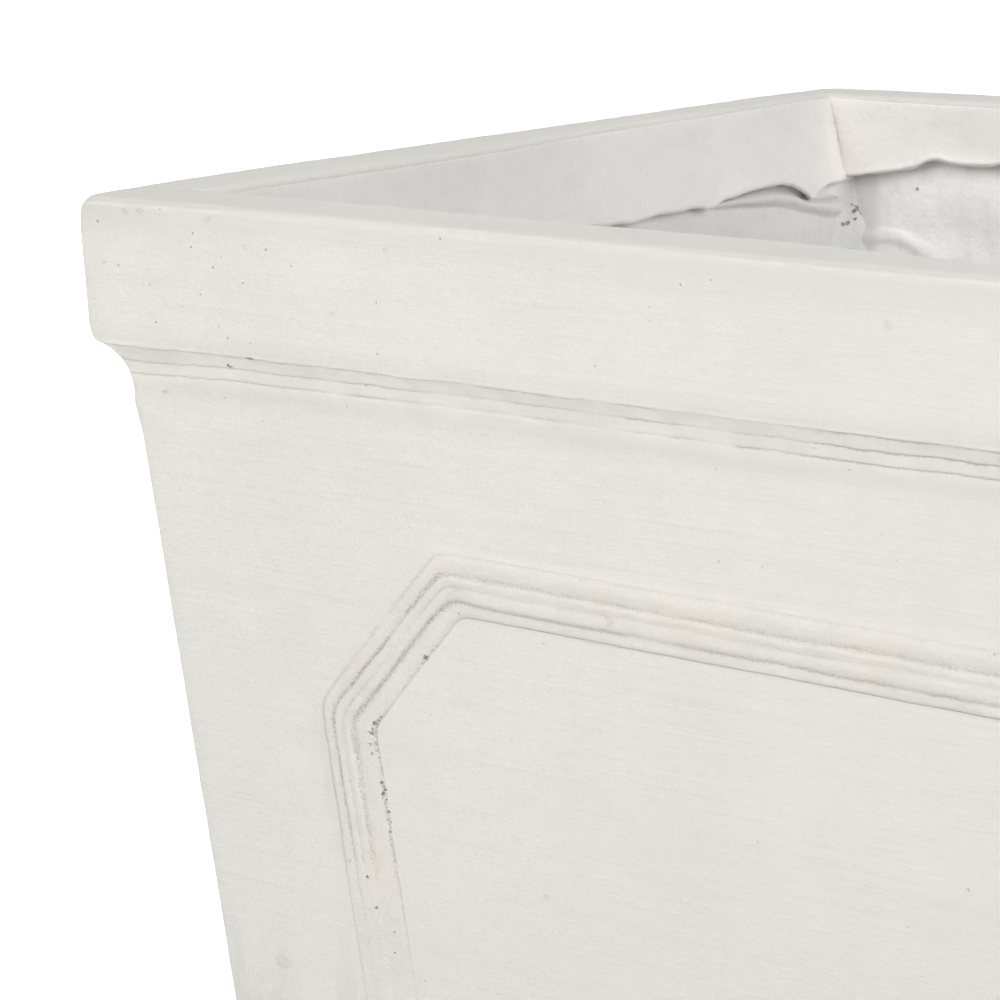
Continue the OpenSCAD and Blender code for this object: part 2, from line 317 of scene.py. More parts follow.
def quarter(start, end, steps=8, level_first=False):
    """A quarter of an ellipse from start to end; it leaves start upright unless level_first."""
    t = np.linspace(0, pi / 2, steps + 1)
    (x0, y0), (x1, y1) = start, end
    across, along = (np.sin(t), 1 - np.cos(t)) if level_first else (1 - np.cos(t), np.sin(t))
    return [(x0 + (x1 - x0) * u, y0 + (y1 - y0) * v) for u, v in zip(across, along)]


def straight(start, end, pace):
    """Evenly spaced points from start to end, about pace apart."""
    count = max(1, round(dist(start, end) / pace))
    return [tuple(a + (b - a) * k / count for a, b in zip(start, end)) for k in range(count + 1)]


# ---- face coat ----


def cove_curve(count):
    """The cove under the rim band, from the lip to the body's face."""
    t = np.linspace(0, 1, count)[:, None]
    a, b, c = (np.array(p, float) for p in (LIP_END, COVE_PULL, COVE_END))
    return (1 - t) ** 2 * a + 2 * t * (1 - t) * b + t**2 * c


def rim_profile():
    """The rim's section from its inner edge over its top and down to the body's face."""
    band_top, band_end = RIM_DRAFT * RIM_OUTER_R, RIM_DRAFT * LIP_TOP
    round_w, round_h = INNER_ROUND
    flat_end = RIM_TOP_W - round_w
    return np.array([
        (RIM_TOP_W, FACE_T),
        *quarter((RIM_TOP_W, round_h), (flat_end, 0)),
        *straight((flat_end, 0), (RIM_OUTER_R, 0), 2.5)[1:],
        *quarter((RIM_OUTER_R, 0), (band_top, RIM_OUTER_R), level_first=True)[1:],
        *straight((band_top, RIM_OUTER_R), (band_end, LIP_TOP), 2.6)[1:],
        *quarter((band_end, LIP_TOP), LIP_END, 10)[1:],
        *cove_curve(40)[1:],
    ])


def lining_tilt(places, side):
    """How far a lining leans back at the rim's top. Places run in the way of turned()."""
    tilt = 1.1 + 0.9 * noise_along(places, side, 80, 15)
    if side == LEFT:
        # On the left side, places run toward the front.
        return tilt + (LEFT_TILT - tilt) * step(-places, -70, 60)
    if side == BACK:
        return tilt * step(places, -210, -120)
    if side == FRONT:
        return FRONT_TILT[0] + (FRONT_TILT[1] - FRONT_TILT[0]) * step(places, 0, 125)
    return tilt


def lining_sink(places, side):
    """How much thinner a lining is, over its whole height."""
    return LEFT_SINK * step(-places, 110, 215) if side == LEFT else 0.0 * places


def upper_share(z):
    """The share of a lining's lean at a height: all of it at the rim's top."""
    return np.clip(1 - (PLANTER_H - z) / TILT_DEPTH, 0, 1)


def leaned(points, share, shoulder):
    """Moves the rim's inner edge back by its linings' tilt, as far as share says, and
    squares the front's rounding as far as shoulder says."""
    moved = points.copy()
    x, y, z = points.T
    for side, (place, facing, axis, sign) in enumerate(
        ((x, -y, 1, -1), (y, x, 0, 1), (-x, y, 1, 1), (-y, -x, 0, -1))
    ):
        here = facing >= np.maximum(np.abs(x), np.abs(y)) - 1
        away = upper_share(z) * lining_tilt(place, side) + lining_sink(place, side)
        moved[:, axis] += here * sign * share * away
    moved[:, 1] += FRONT_SHOULDER * shoulder * (RIM_HALF - y) / (2 * RIM_HALF)
    return moved


def face_point(plane, height):
    """Points of the front's leaning face: [x, distance up the face], and height off it."""
    x, along = np.moveaxis(plane, -1, 0)
    z = along * LEAN_COS
    return np.stack([x, -body_half(z) - height * LEAN_COS, z - height * LEAN_SIN], axis=-1)


def panel_corners(side):
    """The panel's outer outline in the face's plane, clockwise from the top left."""
    low, high, run = PANEL_LOW / LEAN_COS, PANEL_HIGH / LEAN_COS, PANEL_CUT * LEAN_COS

    def half(along):
        return body_half(along * LEAN_COS) - PANEL_SIDE_GAP

    right = [
        (half(high) - PANEL_CUT, high), (half(high - run), high - run),
        (half(low + run), low + run), (half(low) - PANEL_CUT, low),
    ]
    left = [(-x, y) for x, y in reversed(right)]
    corners = np.array([left[3], *right, *left[:3]])
    corners[:2, 1] += PANEL_SLOPES[side] * corners[:2, 0]
    return corners


def inset(corners):
    """The outline moved 1 mm inward, its corners mitred. It runs clockwise."""
    before, after = corners - np.roll(corners, 1, axis=0), np.roll(corners, -1, axis=0) - corners
    before, after = (
        np.stack([w[:, 1], -w[:, 0]], axis=1) / np.linalg.norm(w, axis=1, keepdims=True)
        for w in (before, after)
    )
    return corners + (before + after) / (1 + (before * after).sum(1, keepdims=True))


def stations(corners, counts):
    """Points along a closed outline, with a count of them from each corner to the next."""
    return np.array([
        a + (b - a) * j / count
        for a, b, count in zip(corners, np.roll(corners, -1, axis=0), counts)
        for j in range(count)
    ])


def outline_stations(corners):
    """Stations along the panel's outline, clockwise from the middle of the top left cut."""
    cut = 2 * CUT_SHARE
    counts = 2 * (ACROSS - cut, cut, UPRIGHT - cut, cut)
    return np.roll(stations(corners, counts), CUT_SHARE, axis=0)


def frame_stations(top, bottom):
    """Stations along the face's own border between two heights, from the top left corner."""
    corners = [
        (sign * (body_half(z) - CORNER_R), z / LEAN_COS)
        for sign, z in ((-1, top), (1, top), (1, bottom), (-1, bottom))
    ]
    return stations(np.array(corners), (ACROSS, UPRIGHT, ACROSS, UPRIGHT))


def eased(stations, passes):
    """Values along a closed row of stations, smoothed with their neighbours."""
    for _ in range(passes):
        before, after = np.roll(stations, 1, axis=0), np.roll(stations, -1, axis=0)
        stations = (before + 2 * stations + after) / 4
    return stations


def bead_section(edges, valleys, crowns):
    """Rows across a moulding: [distance inward, height]."""
    rows = []
    for k, crown in enumerate(crowns):
        for t in np.arange(BEAD_ROWS) / BEAD_ROWS:
            inward = edges[k] + (edges[k + 1] - edges[k]) * t
            valley = valleys[k] + (valleys[k + 1] - valleys[k]) * t
            rows.append((inward, valley + (crown - valley) * sin(pi * t) ** FULLNESS))
    return np.array([*rows, (edges[-1], valleys[-1])])


def moulding(side):
    """The moulding's rows in the face's plane (rows, stations, 2), their heights and bead
    numbers, and how level the moulding runs at each station."""
    corners = panel_corners(side)
    outline = outline_stations(corners)
    inward = outline_stations(inset(corners)) - outline
    along = np.roll(outline, -1, axis=0) - np.roll(outline, 1, axis=0)
    run = eased(np.abs(along[:, 0]) / np.linalg.norm(along, axis=1), 24)
    levels = [section[0] for section in SECTIONS]
    shapes = np.array([bead_section(*section[1:]) for section in SECTIONS])
    distance, height = (
        np.array([np.interp(run, levels, values) for values in shapes[:, :, k].T]) for k in (0, 1)
    )
    bead = np.arange(len(distance))[:, None] / BEAD_ROWS
    x, y = outline.T
    place = np.stack(np.broadcast_arrays(x, 20.0 * bead + 400 * side, y), axis=-1)
    wander = 0.35 * noise(place, 42, 16) + 0.22 * noise(place, 11, 17)
    distance = distance + wander * np.clip(np.minimum(bead, bead[-1] - bead) * 2, 0.35, 1)
    height = height * (0.94 + 0.2 * noise(place, 70, 18) + 0.12 * noise(place, 16, 19))
    if side == FRONT:
        # The lower part of its left leg is worn down.
        depth = PLANTER_H - y * LEAN_COS
        wear_and_top_shade = step(depth, 175, 240) * step(depth, 390, 330) * step(x, -90, -110)
        height = height * (1 - LEG_WEAR * wear_and_top_shade)
    rows = outline + distance[:, :, None] * inward
    return np.stack([eased(row, 4) for row in rows]), height, bead, run


def make_face_coat():
    shell = Shell(
        depth=PLANTER_H, bead=FAR, level=0, edge=0, corner=0, inner=0, shoulder=0, outside=1
    )
    into, depth = rim_profile().T
    grid = np.stack([
        square_ring(RIM_HALF - x, PLANTER_H - d, INNER_CORNER_R if x > RIM_TOP_W / 2 else CORNER_R)
        for x, d in zip(into, depth)
    ])
    flat = (LEAN_FROM, RIM_TOP_W - INNER_ROUND[0])
    shell.add_grid(
        grid, depth=depth[:, None], inner=np.interp(into, flat, (0, 1))[:, None],
        shoulder=np.interp(into, (*flat, RIM_TOP_W), (0, 1, 0))[:, None],
    )
    # The body's four faces: border to moulding, moulding, and the field inside it.
    top_z, bottom_z = PLANTER_H - depth[-1], BASE_ARRIS_R
    border = frame_stations(top_z, bottom_z)
    share = np.linspace(0, 1, 12)[:, None]
    levels = np.linspace(top_z, bottom_z, UPRIGHT + 1)
    edge = np.stack([
        square_ring(body_half(z), z, CORNER_R)[ACROSS : ACROSS + CORNER_STEPS + 1] for z in levels
    ])
    inside = np.minimum(*np.meshgrid(*(
        np.minimum(np.arange(n + 1), n - np.arange(n + 1)) for n in (ACROSS, UPRIGHT)
    )))
    for side in range(4):
        band, height, bead, level = moulding(side)
        margin = border * (1 - share[..., None]) + band[:1] * share[..., None]
        for plane, raised, number, run, closed in (
            (margin, 0.0, FAR * (1 - share), level, True),
            (band, height, bead, level, True),
            (coons(band[-1]), 0.0, bead[-1] + 3.0 * inside, 0.0, False),
        ):
            grid = turned(face_point(plane, raised), side)
            shell.add_grid(grid, closed, depth=PLANTER_H - grid[..., 2], bead=number, level=run)
        shell.add_grid(turned(edge, side), False, depth=(PLANTER_H - levels)[:, None])
    # The base's arris, the underside, the drain hole and the inside of the coat.
    arris = quarter((body_half(BASE_ARRIS_R), BASE_ARRIS_R), (body_half(0) - BASE_ARRIS_R, 0), 5)
    rings = [square_ring(h, z, CORNER_R) for h, z in arris]
    last, hole = rings[-1], round_ring(DRAIN_R + 1, 0)
    rings += [last * (1 - t) + hole * t for t in np.linspace(0, 1, 30)[1:]]
    shell.add_grid(np.stack(rings))
    inner = [
        hole,
        round_ring(DRAIN_R, 1),
        round_ring(DRAIN_R, FACE_T),
        square_ring(BASE_HALF - FACE_T, FACE_T),
        square_ring(body_half(CORE_FOOT) - FACE_T, CORE_FOOT),
        *(square_ring(RIM_HALF - gap, z) for gap, z in CORE_SPACE),
        square_ring(MOUTH_HALF, FLANGE_Z, INNER_CORNER_R),
    ]
    shell.add_grid(np.stack(inner), inner=[[0]] * 7 + [[1]], outside=0)

    def shape(points, normals, marks):
        depth, outside = marks["depth"], marks["outside"]
        cove = step(depth, 46, 51) * step(depth, COVE_FOOT + 4, COVE_FOOT - 4)
        # The lines' own depth: where it is a line's, the line is drawn.
        place, near = place_along(points), step(np.abs(points[:, :2]).min(1), 185, 235)
        sag = COVE_SAG * near * step(depth, 51, 54)
        drawn = depth - cove * (sag + np.interp(place, *zip(*COVE_WANDER)))
        waves = 0.3 * layered_noise(points, 130, 11) + 0.13 * noise(points, 32, 21) - 0.28
        lines = sum(bell(drawn, d, 0.5) for d in COVE_LINES)
        tooled = lines * np.clip(0.4 + 0.25 * noise(points, 12, 31), 0, 1) * (1 - 0.8 * near)
        on_moulding = step(marks["bead"], -2, 0) * step(marks["bead"], 6, 4)
        rough = (0.1 + 0.1 * np.maximum(1.6 * cove, on_moulding)) * noise(points, 6, 41)
        swell = FOOT_SWELL * near * bell(depth, COVE_FOOT + 2, 9)
        moved = points + normals * (outside * (waves - tooled + rough + swell))[:, None]
        moved[:, 2] += cove * (0.3 * noise(points, 55, 51) + 0.25 * noise(points, 14, 52))
        away = np.linalg.norm((RIM_HALF, RIM_HALF, PLANTER_H) - np.abs(points), axis=1)
        wear = outside * CORNER_WEAR / sqrt(3) * bell(away, 0, 6)
        moved -= np.sign(points) * wear[:, None]
        moved[:, 2] -= outside * CORNER_DIP * bell(away, 0, 40)
        marks["depth"] = drawn
        marks["edge"] = depth - np.interp(place, *zip(*ARRIS_SHADE_LINE)) + 0.2 * noise(points, 4, 53)
        marks["corner"] = bell(away, 0, 45)
        low, high = np.array(CAD_BOX) / MM
        return np.clip(leaned(moved, marks["inner"], marks["shoulder"]), low, high)

    piece = shell.build("face_skin", shape)
    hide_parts("face_coat")
    return piece


def coons(border):
    """A grid inside a border of stations that runs clockwise from the top left corner."""
    top = border[: ACROSS + 1]
    right = border[ACROSS : ACROSS + UPRIGHT + 1]
    bottom = border[ACROSS + UPRIGHT : 2 * ACROSS + UPRIGHT + 1][::-1]
    left = np.concatenate([border[2 * ACROSS + UPRIGHT :], border[:1]])[::-1]
    u = np.linspace(0, 1, ACROSS + 1)[:, None]
    v = np.linspace(0, 1, UPRIGHT + 1)[:, None, None]
    blend = (1 - v) * top + v * bottom + (1 - u) * left[:, None] + u * right[:, None]
    corners = (
        (1 - u) * (1 - v) * top[0] + u * (1 - v) * top[-1]
        + (1 - u) * v * bottom[0] + u * v * bottom[-1]
    )
    return blend - corners


# ---- inner pieces ----


def mitred_bar(shell, side, outlines, reach=0.0, **values):
    """Adds a bar along one side. outlines (columns, points, 2) gives its closed section
    [distance from the centre, height] at each column; its ends run past the mitre by reach."""
    f = np.linspace(-1, 1, len(outlines))[:, None]
    distance, z = np.moveaxis(outlines, -1, 0)
    grid = np.stack([f * (distance + reach), -distance, z], axis=-1)
    shell.cap(shell.add_grid(turned(grid, side), **values))


# The linings' torn edges: [place along the side, depth below the rim's top, how far
# the edge overhangs the wall, from 0 to 1].
TORN = {
    BACK: [(-220, 36, 0.4), (-60, 38, 0.5), (60, 34, 0.8), (130, 30, 0.5), (146.4, 27.4, 0.6),
        (149.8, 28.5, 0.7), (160.4, 29.2, 0.9), (172.5, 28.8, 1.0), (177, 28, 1.2),
        (181.5, 28.9, 1.4), (187.4, 31.9, 1.3), (194.6, 33.4, 0.9), (209.9, 35.5, 0.5),
        (222.5, 37.4, 0.3), (230, 36.5, 0.3)],
    LEFT: [(-230, 39, 0.5), (-218.5, 39.4, 0.7), (-203, 40.1, 0.7), (-196.4, 42.3, 0.4),
        (-189.8, 45, 0.2), (-185.4, 42.3, 0.5), (-181.1, 40.2, 0.8), (-172.4, 37.2, 0.9),
        (-163.8, 36, 0.8), (-151.2, 35.5, 0.7), (-134.6, 36.3, 0.6), (-116.3, 37.7, 0.5),
        (-108.4, 40.1, 0.3), (-102.4, 40.5, 0.3), (-99.4, 39.2, 0.5), (-88.6, 38.6, 0.7),
        (-63.6, 39.2, 0.6), (-44.8, 40, 0.5), (60, 34, 0.4), (140, 39, 0.6), (230, 36, 0.4)],
    FRONT: [(-230, 36, 0.4), (-90, 39, 0.8), (10, 33, 0.3), (130, 38, 0.7), (230, 35, 0.3)],
    RIGHT: [(-230, 36, 0.4), (-120, 33, 0.2), (-20, 39, 0.8), (90, 35, 0.4), (230, 38, 0.6)],
}


def torn_edge(places, side):
    """Depth and overhang of the torn edge at places along a side."""
    at, depths, overhangs = zip(*TORN[side])
    depth = np.interp(places, at, depths) + 0.35 * noise_along(places, side, 9, 61)
    return depth + 0.3 * noise_along(places, side, 3.5, 62), np.interp(places, at, overhangs)


def make_lining(side):
    shell = Shell(edge=0, seam=0, face=0)
    reach = 12.0
    places = np.linspace(-1, 1, LINING_COLUMNS + 1) * (MOUTH_HALF + reach)
    depth, hang = torn_edge(places, side)
    edge = PLANTER_H - depth
    tilt, sink = lining_tilt(places, side), lining_sink(places, side)
    lip_r = 2.2 + 1.1 * hang + 0.5 * noise_along(places, side, 16, 63)

    def face_at(z):
        curl = 1.6 * hang * np.clip(1 - (z - edge) / 9, 0, 1) ** 2
        return MOUTH_HALF + sink + tilt * upper_share(z) - 0.12 - curl

    rows = []
    # The top rows tuck in under the face coat's rounding.
    for drop, tuck in ((2.0, 1.4), (2.6, 0.7), (3.2, 0.2)):
        z = PLANTER_H - drop + 0 * edge
        rows.append((face_at(z) + tuck, z))
    top_z = PLANTER_H - 3.8
    for t in np.linspace(0, 1, 14):
        z = top_z + (edge + lip_r - top_z) * t
        rows.append((face_at(z), z))
    for a in np.radians(np.linspace(15, 90, 7)):
        rows.append((face_at(edge) + lip_r * (1 - cos(a)), edge + lip_r * (1 - sin(a))))
    face_rows = len(rows)
    # Under the lip the section is hollow, up to the rough wall, and then it is hidden.
    start, root, hollow = rows[-1][0], wall_half(edge) + 1.2, 1.0 + 6.5 * hang
    for t in (0.25, 0.5, 0.75, 1.0):
        rows.append((start + (root - start) * t, edge + hollow * t**1.3))
    flange = FLANGE_Z + 0 * edge
    rows += [(wall_half(flange) + 1.2, flange), (MOUTH_HALF + sink + tilt + 1.6, flange)]
    outlines = np.stack([np.stack(row, axis=-1) for row in rows], axis=1)
    position = np.arange(len(rows))
    face = (position < face_rows).astype(float)
    # The seam at each end lies where the neighbouring lining's face is.
    upper = upper_share(outlines[..., 1])
    across = (places / (MOUTH_HALF + reach))[:, None] * (outlines[..., 0] + reach - 0.4)
    seam = 0.0
    for end in (1, -1):
        at = (np.array([-end * MOUTH_HALF]), (side + end) % 4)
        meets = MOUTH_HALF + lining_sink(*at) + upper * lining_tilt(*at)
        seam = seam + bell(end * across, meets, 2.2)
    mitred_bar(
        shell, side, outlines, reach - 0.4,
        edge=bell(position, face_rows - 1, 3), seam=seam * face, face=face,
    )

    def shape(points, normals, marks):
        rough = 0.38 * noise(points, 26, 64) + 0.16 * noise(points, 9, 65) - 0.1
        rough *= step(PLANTER_H - points[:, 2], 5, 14)
        torn = marks["edge"] * (0.45 * noise(points, 5, 66) + 0.1)
        return points + normals * (marks["face"] * (rough - torn))[:, None]

    name = SIDES[side]
    piece = shell.build(f"torn_lining_{name}", shape)
    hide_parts(f"rim_lining_{name}")
    return piece


# Broad lumps of paste on the walls: [place, depth, half length, half height, rise].
LUMPS = {
    LEFT: ((-190, 58, 30, 9, 2.2), (-120, 52, 24, 5, 1.2)),
    BACK: ((178, 74, 10, 12, 1.6), (120, 55, 40, 9, 1.2), (140, 44, 70, 15, 4.2)),
}
# Rolled ridges on them: the rise, and [place, upper depth, lower depth] along each.
ROLLS = {
    LEFT: (5.2, (
        (-222, 45, 55), (-209, 45.5, 53.8), (-188.2, 44, 49.4), (-179.6, 40.5, 46.9),
        (-166.6, 37.5, 45), (-153.7, 36.5, 44.2), (-137.3, 37, 42.6), (-112, 38.5, 41.2),
    )),
    BACK: (1.5, (
        (181, 63, 70), (185.1, 63.2, 70), (194.2, 59.3, 66.4), (204.3, 58.3, 65.2),
        (214.8, 60.9, 68.4), (222, 64, 71),
    )),
}


def make_wall(side):
    shell = Shell(face=0)
    levels = np.r_[np.linspace(FLANGE_Z, 395, 100), np.linspace(390, MAT_TOP, 50)]
    outline = [(wall_half(z), z) for z in levels]
    outline += [(body_half(z) - FACE_T - MAT_T, z) for z in (MAT_TOP, FLANGE_Z)]
    outlines = np.broadcast_to(outline, (WALL_COLUMNS + 1, len(outline), 2))
    mitred_bar(shell, side, outlines, face=np.r_[np.ones(len(levels)), 0, 0])

    def shape(points, normals, marks):
        lumps = 0.9 * layered_noise(points, 60, 71) + 0.5 * noise(points, 14, 74) - 0.2
        place, depth = turned(points, -side % 4)[:, 0], PLANTER_H - points[:, 2]
        for middle, low, length, height, rise in LUMPS.get(side, ()):
            sag = low + 0.12 * (place - middle) * (1 if side == LEFT else -1)
            lumps += rise * bell(place, middle, length) * bell(depth, sag, height)
        if side in ROLLS:
            rise, along = ROLLS[side]
            at, upper, lower = zip(*along)
            top, foot = np.interp(place, at, upper), np.interp(place, at, lower)
            ends = step(place, at[0] - 4, at[0] + 8) * step(place, at[-1] + 2, at[-1] - 16)
            across = np.clip((depth - top) / (foot - top), 0, 1)
            lumps += rise * ends * np.sin(pi * across) ** FULLNESS
        return points + normals * (marks["face"] * lumps)[:, None]

    name = SIDES[side]
    piece = shell.build(f"pressed_wall_{name}", shape)
    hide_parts(f"wall_{name}")
    return piece


def make_floor():
    shell = Shell(face=0)
    outer, hole = square_ring(wall_half(SLAB_TOP), SLAB_TOP), round_ring(DRAIN_R + 1, SLAB_TOP)
    top = np.stack([hole * (1 - t) + outer * t for t in np.linspace(1, 0, 36)])
    shell.add_grid(top, face=1)
    rings = [
        hole, round_ring(DRAIN_R, SLAB_TOP - 1), round_ring(DRAIN_R, MAT_TOP),
        square_ring(wall_half(MAT_TOP), MAT_TOP), outer,
    ]
    shell.add_grid(np.stack(rings))

    def shape(points, normals, marks):
        away = step(np.hypot(points[:, 0], points[:, 1]), 22, 47)
        lumps = 0.8 * layered_noise(points, 55, 81) + 0.35 * noise(points, 12, 84) - 0.2
        return points + normals * (marks["face"] * away * lumps)[:, None]

    piece = shell.build("trowelled_floor", shape)
    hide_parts("floor_slab")
    return piece


# The corner at the right end of each side, as seen from outside.
CORNERS = ("front_right", "back_right", "back_left", "front_left")


def make_fillet(side):
    """The paste worked into the corner at the right end of a side."""
    shell = Shell(face=0)
    steps, top_z = 14, 445
    rings = []
    for z in np.r_[np.linspace(SLAB_TOP - 1, 380, 50), np.linspace(382, top_z, 40)]:
        half = wall_half(z) + 1
        radius = FILLET_R + 1 + 2.5 * noise_along(z, side, 40, 91)
        closing = np.clip((z - top_z + 8) / 9, 0, 1)
        radius *= sqrt(max(0.05, 1 - closing**2))
        rings.append([(half, -half, z)] + [
            (half - radius * (1 - sin(a)), -half + radius * (1 - cos(a)), z)
            for a in np.radians(np.linspace(90, 0, steps + 1))
        ])
    grid = turned(np.array(rings)[::-1], side)
    shell.cap(shell.add_grid(grid, face=np.r_[0, 0.2, np.ones(steps - 1), 0.2]))

    def shape(points, normals, marks):
        upper = step(points[:, 2], 330, 420)
        lumps = (0.8 + 2.6 * upper) * noise(points, 19, 92) + 0.5 * noise(points, 7, 93)
        return points + normals * (marks["face"] * lumps)[:, None]

    name = CORNERS[side]
    piece = shell.build(f"worked_corner_{name}", shape)
    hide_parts(f"corner_fillet_{name}")
    return piece


# ---- materials ----


class Nodes:
    """A tree of nodes that are made by short calls."""

    def __init__(self, owner):
        owner.use_nodes = True
        self.tree = owner.node_tree

    def make(self, kind, sockets, **settings):
        """Makes a node with values or links in its sockets, and returns its outputs."""
        made = self.tree.nodes.new("ShaderNode" + kind)
        for name, value in settings.items():
            setattr(made, name, value)
        for key, value in sockets.items():
            self.put(made.inputs[key], value)
        return made.outputs

    def put(self, socket, value):
        if isinstance(value, bpy.types.NodeSocket):
            self.tree.links.new(value, socket)
        else:
            socket.default_value = (*value, 1) if socket.type == "RGBA" else value

    def math(self, operation, *values):
        """Joins two or more values by the operation, from the first to the last."""
        total = values[0]
        for value in values[1:]:
            sockets = {0: total, 1: value}
            total = self.make("Math", sockets, operation=operation)[0]
        return total

    def mul(self, *values):
        return self.math("MULTIPLY", *values)

    def add(self, *values):
        return self.math("ADD", *values)

    def most(self, *values):
        return self.math("MAXIMUM", *values)


class Shader(Nodes):
    """A material, with the colour that has been laid on so far."""

    def __init__(self, name, color):
        self.material = bpy.data.materials.new(name)
        super().__init__(self.material)
        self.surface = self.tree.nodes["Principled BSDF"]
        self.place = self.make("TexCoord", {})["Object"]
        self.color = color

    def coat(self, tint, *shares):
        """Lays a tint over the colour, as strongly as the product of the shares."""
        sockets = {0: self.mul(*shares), 6: self.color, 7: tint}
        self.color = self.make("Mix", sockets, data_type="RGBA")[2]

    def finish(self, roughness, shine):
        inputs = self.surface.inputs
        self.put(inputs["Base Color"], self.color)
        self.put(inputs["Roughness"], roughness)
        self.put(inputs["Specular IOR Level"], shine)

    def relief(self, *heights):
        """Bends the normal to the sum of the heights, in millimetres."""
        sockets = {"Height": self.add(*heights), "Distance": MM, "Strength": 1.0}
        self.put(self.surface.inputs["Normal"], self.make("Bump", sockets)[0])

    def ramp(self, value, low, high, to_low=0.0, to_high=1.0):
        """A smooth step of value from low to high."""
        sockets = dict(enumerate((value, low, high, to_low, to_high)))
        return self.make("MapRange", sockets, interpolation_type="SMOOTHSTEP")[0]

    def stretched(self, scales, shift=0.0):
        sockets = {"Vector": self.place, "Scale": scales, "Location": (shift,) * 3}
        return self.make("Mapping", sockets)[0]

    def noise(self, scale, detail=3, roughness=0.5, vector=None):
        sockets = {"Vector": self.place if vector is None else vector, "Scale": scale,
                   "Detail": detail, "Roughness": roughness}
        return self.make("TexNoise", sockets)[0]

    def streaks(self, scales, detail, roughness, shift=0.0):
        """Noise with a scale of its own along x, y and z."""
        return self.noise(1, detail, roughness, self.stretched(scales, shift))

    def sway(self, scale, amount, detail=2):
        """Noise about 0, up to about amount."""
        return self.mul(self.add(self.noise(scale, detail), -0.5), 3 * amount)

    def mark(self, name):
        return self.make("Attribute", {}, attribute_name=name)["Fac"]

    def axes(self):
        """x, y and z in metres from the middle of the underside."""
        return self.make("SeparateXYZ", {0: self.place})

    def stroke(self, value, at, half, soft=0.3):
        """1 where value is within half of at, fading at the stroke's sides."""
        away = self.math("ABSOLUTE", self.add(value, -at), 0.0)
        return self.ramp(away, half, half * soft)

    def pits(self, cell, radius, share, seed):
        """Round air holes, radius across in metres, in a share of the cells. 1 is in a hole."""
        sockets = {"Vector": self.stretched((1, 1, 1), seed), "Scale": 1 / cell, "Randomness": 1.0}
        made = self.make("TexVoronoi", sockets)
        chance = self.make("SeparateColor", {0: made["Color"]})[0]
        reach = self.mul(self.ramp(chance, 1 - share, 1), radius / cell)
        inside = self.math("SUBTRACT", reach, made["Distance"])
        return self.ramp(inside, 0, 0.3 * radius / cell)

    def chips(self, places, rough=0.8):
        """Chipped spots at places [x, y, z, radius] in millimetres. 1 is in a chip."""
        ragged = self.sway(1500, rough, 4)
        spots = 0.0
        for x, y, z, radius in places:
            sockets = {0: self.place, 1: (x * MM, y * MM, z * MM)}
            made = self.make("VectorMath", sockets, operation="DISTANCE")
            away = self.add(self.mul(made["Value"], 1 / (radius * MM)), ragged)
            spots = self.most(spots, self.ramp(away, 1.15, 0.55))
        return spots


def on_face(x, depth, radius):
    """A spot of the front: on the rim band, the cove or the leaning face under it."""
    if depth < LIP_TOP:
        y = -RIM_HALF + RIM_DRAFT * depth
    elif depth < COVE_FOOT:
        curve = np.array([(RIM_DRAFT * LIP_TOP, LIP_TOP), *cove_curve(20)])
        y = -RIM_HALF + np.interp(depth, curve[:, 1], curve[:, 0])
    else:
        y = -body_half(PLANTER_H - depth)
    return (x, y, PLANTER_H - depth, radius)


# Chips that show in the photograph's view: [x, depth below the rim's top, radius].
DARK_CHIPS = (
    (-178.5, 50.1, 0.9), (-177, 50.2, 0.9), (-189.5, 54.7, 1), (-188.5, 61.2, 0.7),
    (-187.3, 61.4, 0.5), (27.9, 50.3, 0.5), (32.5, 51.2, 0.5), (-141.1, 172.2, 0.9),
    (-143, 175.7, 0.9), (-143.8, 179.7, 0.8), (-143.3, 183.4, 0.6), (-118.2, 145.5, 0.9),
    (-103.1, 128.2, 0.5), (-131.8, 156.3, 0.4), (-141.4, 162, 0.5), (-152.6, 182.6, 0.4),
    (-149.4, 228.9, 0.6), (-146.4, 239.6, 0.6), (-140.2, 197.1, 0.7), (5.5, 118.9, 0.4),
    (24.9, 119.9, 0.4), (-142.4, 173.9, 0.6), (-143.6, 178, 0.5), (-139.8, 171, 0.5),
    (-138.5, 169.6, 0.4), (-140.4, 193.3, 0.5), (-139.3, 195.6, 0.6), (-138.7, 199.1, 0.5),
    (-138.2, 203.3, 0.5), (-137.7, 206.8, 0.4), (-149.7, 207.9, 0.5), (-156.7, 224.4, 0.4),
    (-138.4, 210.5, 0.4), (-158.8, 214.3, 0.4), (-151, 222.6, 0.4), (-139.3, 246.9, 0.4),
    (-140, 254.8, 0.4),
)
AIR_HOLES = (
    (-198, 10.1, 0.38), (-199, 14.6, 0.38), (-189.9, 20.7, 0.42), (-231.4, 23.2, 0.34),
    (-149.6, 12.9, 0.38), (-157.1, 17.6, 0.38), (-154.1, 23.4, 0.34), (-177.4, 25, 0.42),
    (-179.6, 26.6, 0.34), (-203.9, 34.8, 0.38), (-185, 36.6, 0.34), (-188.8, 40.4, 0.38),
    (-157.6, 34.7, 0.38), (-140.1, 27.7, 0.34), (-137.3, 22.3, 0.38), (-179.9, 72.7, 0.42),
    (-216, 41.3, 0.38), (-217.7, 28.6, 0.34), (-239.5, 9.1, 0.42),
)
CRESCENTS = (
    (-191.5, 5, 1.3), (36.8, 51.5, 1.5), (-102.9, 120.4, 1.8), (-43.4, 122.5, 1.5),
    (-176.3, 13, 1), (-118.5, 9.6, 1.1), (61.5, 16.9, 1.2), (-227.5, 5, 1), (-220.8, 4.3, 1),
    (-141.2, 32.2, 1), (-221.8, 67, 0.7), (-190.3, 268.7, 2.2), (-75.4, 221.8, 0.9),
)
